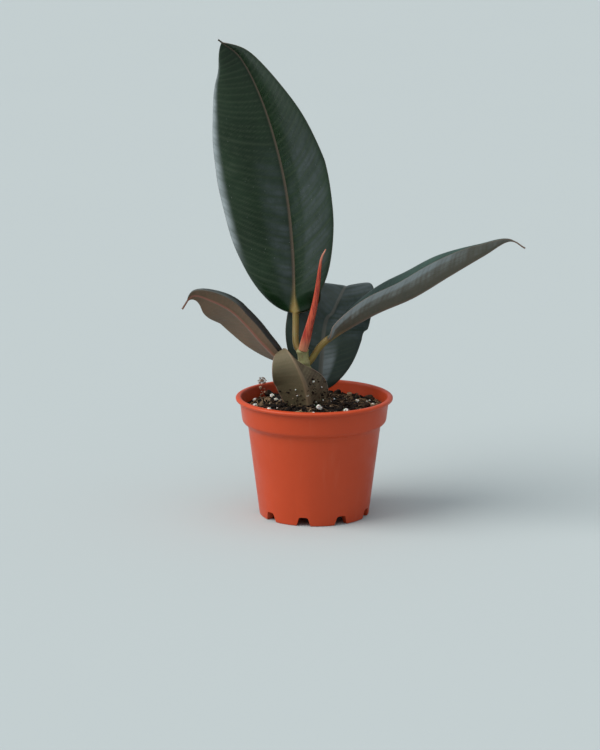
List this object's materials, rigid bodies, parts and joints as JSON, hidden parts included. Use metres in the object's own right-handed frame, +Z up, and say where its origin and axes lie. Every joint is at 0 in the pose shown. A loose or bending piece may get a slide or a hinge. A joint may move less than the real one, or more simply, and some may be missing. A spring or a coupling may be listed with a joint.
{
  "type": "potted rubber plant",
  "caption": "Young dark-leaved rubber plant with a red bud sheath, rooted in potting mix in a small moulded nursery pot that stands on its notched base.",
  "frame": {"origin": "centre of the pot's base, on the surface that the pot stands on", "axes": "+Z up along the pot's axis; -Y is the front, where the short leaf is; +X is the side that the long arching leaf points to"},
  "size_m": [0.1296, 0.0647, 0.1794],
  "materials": {
    "pot": "satin",
    "soil": "matte",
    "stem": "satin",
    "bud_sheath": "satin",
    "leaf": "satin",
    "perlite": "matte",
    "chip": "matte",
    "crumb": "matte"
  },
  "bodies": {
    "root": {"pot": "pot", "soil": "soil", "stem": "stem", "bud_sheath": "bud_sheath", "leaf_upright": "leaf", "leaf_right": "leaf", "leaf_left": "leaf", "leaf_front": "leaf", "leaf_back": "leaf", "perlite_1": "perlite", "perlite_2": "perlite", "perlite_3": "perlite", "perlite_4": "perlite", "perlite_5": "perlite", "perlite_6": "perlite", "perlite_7": "perlite", "perlite_8": "perlite", "perlite_9": "perlite", "perlite_10": "perlite", "perlite_11": "perlite", "perlite_12": "perlite", "chip_1": "chip", "chip_2": "chip", "chip_3": "chip", "chip_4": "chip", "crumb_1": "crumb", "crumb_2": "crumb", "crumb_3": "crumb", "crumb_4": "crumb", "crumb_5": "crumb", "crumb_6": "crumb", "crumb_7": "crumb", "crumb_8": "crumb"}
  },
  "joints": []
}
